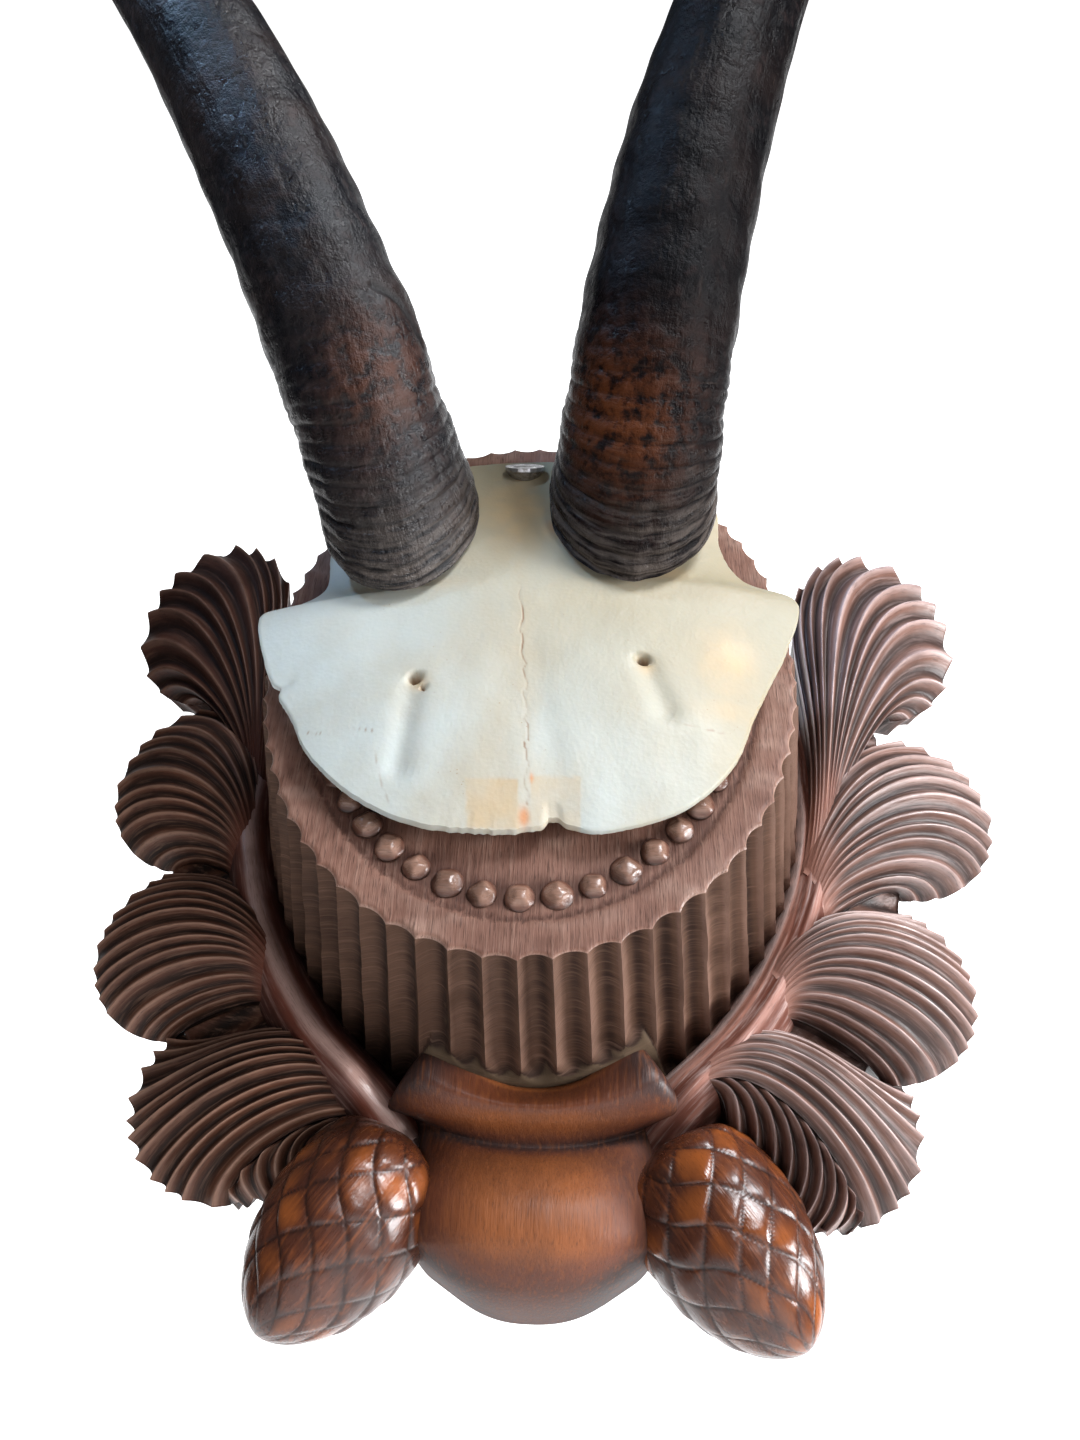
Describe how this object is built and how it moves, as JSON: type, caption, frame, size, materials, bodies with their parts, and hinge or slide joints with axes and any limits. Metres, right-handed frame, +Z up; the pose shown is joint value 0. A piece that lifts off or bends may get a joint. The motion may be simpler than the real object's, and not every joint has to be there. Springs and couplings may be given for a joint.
{
  "type": "chamois horn plaque",
  "caption": "Chamois trophy for a wall: black hooked horns on a sawn skull plate, screwed to a dark carved wooden plaque with oak leaves, beads and cones.",
  "frame": {"origin": "on the flat back of the plaque, in the plane of the wall, behind the middle of the oval drum", "axes": "+Z up the wall towards the horns, -Y out of the wall towards the viewer, +X to the viewer's right"},
  "size_m": [0.2025, 0.1501, 0.3135],
  "materials": {
    "dark_wood": "hand-carved, stained dark and waxed, satin",
    "bone": "boiled and bleached bone, matt ivory",
    "horn": "natural black-brown horn with growth rings, half gloss",
    "zinc_steel": "zinc-plated, slightly worn"
  },
  "bodies": {
    "root": {"carved_plaque": "dark_wood", "skull_plate": "bone", "horn_left": "horn", "horn_right": "horn", "screw": "zinc_steel"}
  },
  "joints": []
}
